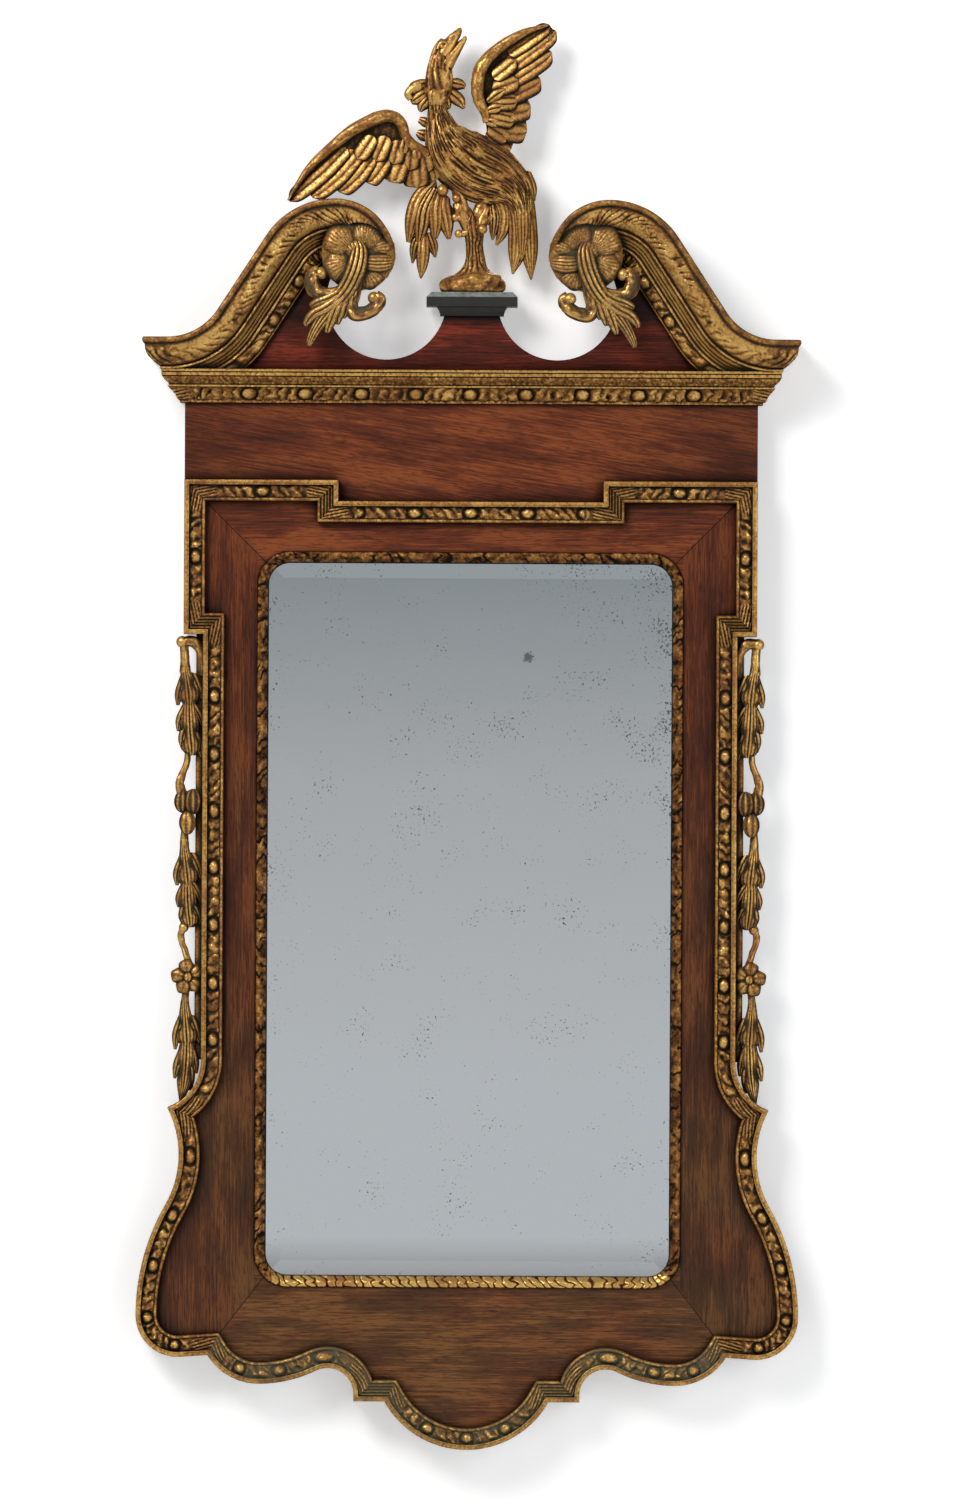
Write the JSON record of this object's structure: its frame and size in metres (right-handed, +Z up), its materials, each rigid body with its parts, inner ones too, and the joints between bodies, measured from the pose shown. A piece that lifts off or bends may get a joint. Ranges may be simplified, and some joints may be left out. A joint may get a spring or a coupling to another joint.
{
  "type": "wall mirror",
  "caption": "Tall framed wall mirror with a broken swan-neck crest, carved gilt mouldings, side garlands and a bird finial; hangs from pivoting rings.",
  "frame": {"origin": "centre of the looking glass, on the wall plane (the backboard's rear face)", "axes": "+Z up, +Y into the wall, so the glass faces -Y, and +X to the right of a person who faces the mirror"},
  "size_m": [0.662, 0.07, 1.4259],
  "materials": {
    "mahogany": "old polished mahogany",
    "gilt_wood": "worn water gilding on carved softwood",
    "looking_glass": "old silvered bevelled plate",
    "pine": "bare pine",
    "ebonised_wood": "ebonised, worn on the edges",
    "brass": "dull brass",
    "iron": "dark iron"
  },
  "bodies": {
    "frame": {"apron_moulding": "gilt_wood", "backboard": "pine", "backboard_nails": "iron", "batten_left": "pine", "batten_right": "pine", "batten_screws": "iron", "bird_body": "gilt_wood", "bird_left_wing": "gilt_wood", "bird_pins": "pine", "bird_right_wing": "gilt_wood", "bird_stump": "gilt_wood", "bottom_rail": "mahogany", "corner_spandrels": "mahogany", "cornice_front": "gilt_wood", "cornice_return_left": "gilt_wood", "cornice_return_right": "gilt_wood", "ear_returns": "gilt_wood", "ear_side_left": "gilt_wood", "ear_side_right": "gilt_wood", "ear_top_left": "gilt_wood", "ear_top_right": "gilt_wood", "frieze_board": "mahogany", "garland_left": "gilt_wood", "garland_right": "gilt_wood", "glass_blocks": "pine", "hanger_plate_left": "brass", "hanger_plate_right": "brass", "hanger_screws": "brass", "hip_moulding_left": "gilt_wood", "hip_moulding_right": "gilt_wood", "left_stile": "mahogany", "middle_moulding": "gilt_wood", "mirror_plate": "looking_glass", "mitre_tongues": "pine", "pediment_board": "mahogany", "plinth_cap": "ebonised_wood", "plinth_cavetto": "ebonised_wood", "right_stile": "mahogany", "riser_mouldings": "gilt_wood", "rosette_left": "gilt_wood", "rosette_right": "gilt_wood", "scallop_moulding_left": "gilt_wood", "scallop_moulding_right": "gilt_wood", "shoulder_mouldings": "gilt_wood", "side_moulding_left": "gilt_wood", "side_moulding_right": "gilt_wood", "slip_bottom": "gilt_wood", "slip_corners": "gilt_wood", "slip_left": "gilt_wood", "slip_right": "gilt_wood", "slip_top": "gilt_wood", "swan_neck_left": "gilt_wood", "swan_neck_right": "gilt_wood", "swan_return_left": "gilt_wood", "swan_return_right": "gilt_wood", "top_rail": "mahogany"},
    "ring_left": {"hanger_ring_left": "brass"},
    "ring_right": {"hanger_ring_right": "brass"}
  },
  "joints": [
    {"name": "ring_left_swing", "type": "hinge", "parent": "frame", "child": "ring_left", "pos_m": [-0.15, -0.0084, 0.491], "axis": [1, 0, 0], "range_deg": [0, 175]},
    {"name": "ring_right_swing", "type": "hinge", "parent": "frame", "child": "ring_right", "pos_m": [0.15, -0.0084, 0.491], "axis": [1, 0, 0], "range_deg": [0, 175]}
  ]
}
